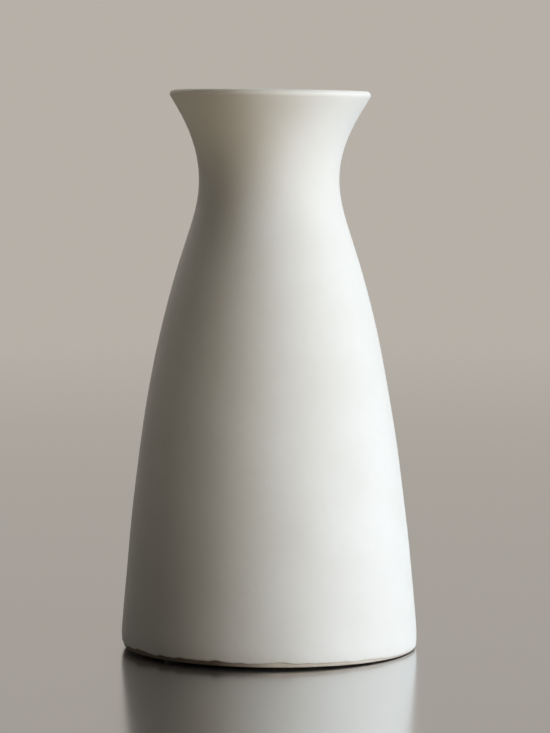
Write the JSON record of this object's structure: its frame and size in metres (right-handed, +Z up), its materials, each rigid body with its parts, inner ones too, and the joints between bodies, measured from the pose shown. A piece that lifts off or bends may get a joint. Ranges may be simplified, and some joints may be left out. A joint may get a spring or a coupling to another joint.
{
  "type": "carafe vase",
  "caption": "Carafe-shaped stoneware vase: rounded foot, long tapering body, narrow neck and flared lip, with a matte white glaze outside and a liner glaze inside.",
  "frame": {"origin": "on the table, in the middle of the foot: the centre of the circle that the felt pads stand on", "axes": "+Z up along the axis that the vase is turned about; the felt pads lie at 45 degrees to X and Y"},
  "size_m": [0.1624, 0.1624, 0.3061],
  "materials": {
    "clay": "bare buff stoneware, fine grog",
    "matte_glaze": "matte white",
    "liner_glaze": "satin off-white",
    "felt": "pressed felt"
  },
  "bodies": {
    "root": {"stoneware_body": "clay", "outer_glaze": "matte_glaze", "liner_glaze": "liner_glaze", "felt_pad_1": "felt", "felt_pad_2": "felt", "felt_pad_3": "felt", "felt_pad_4": "felt"}
  },
  "joints": []
}
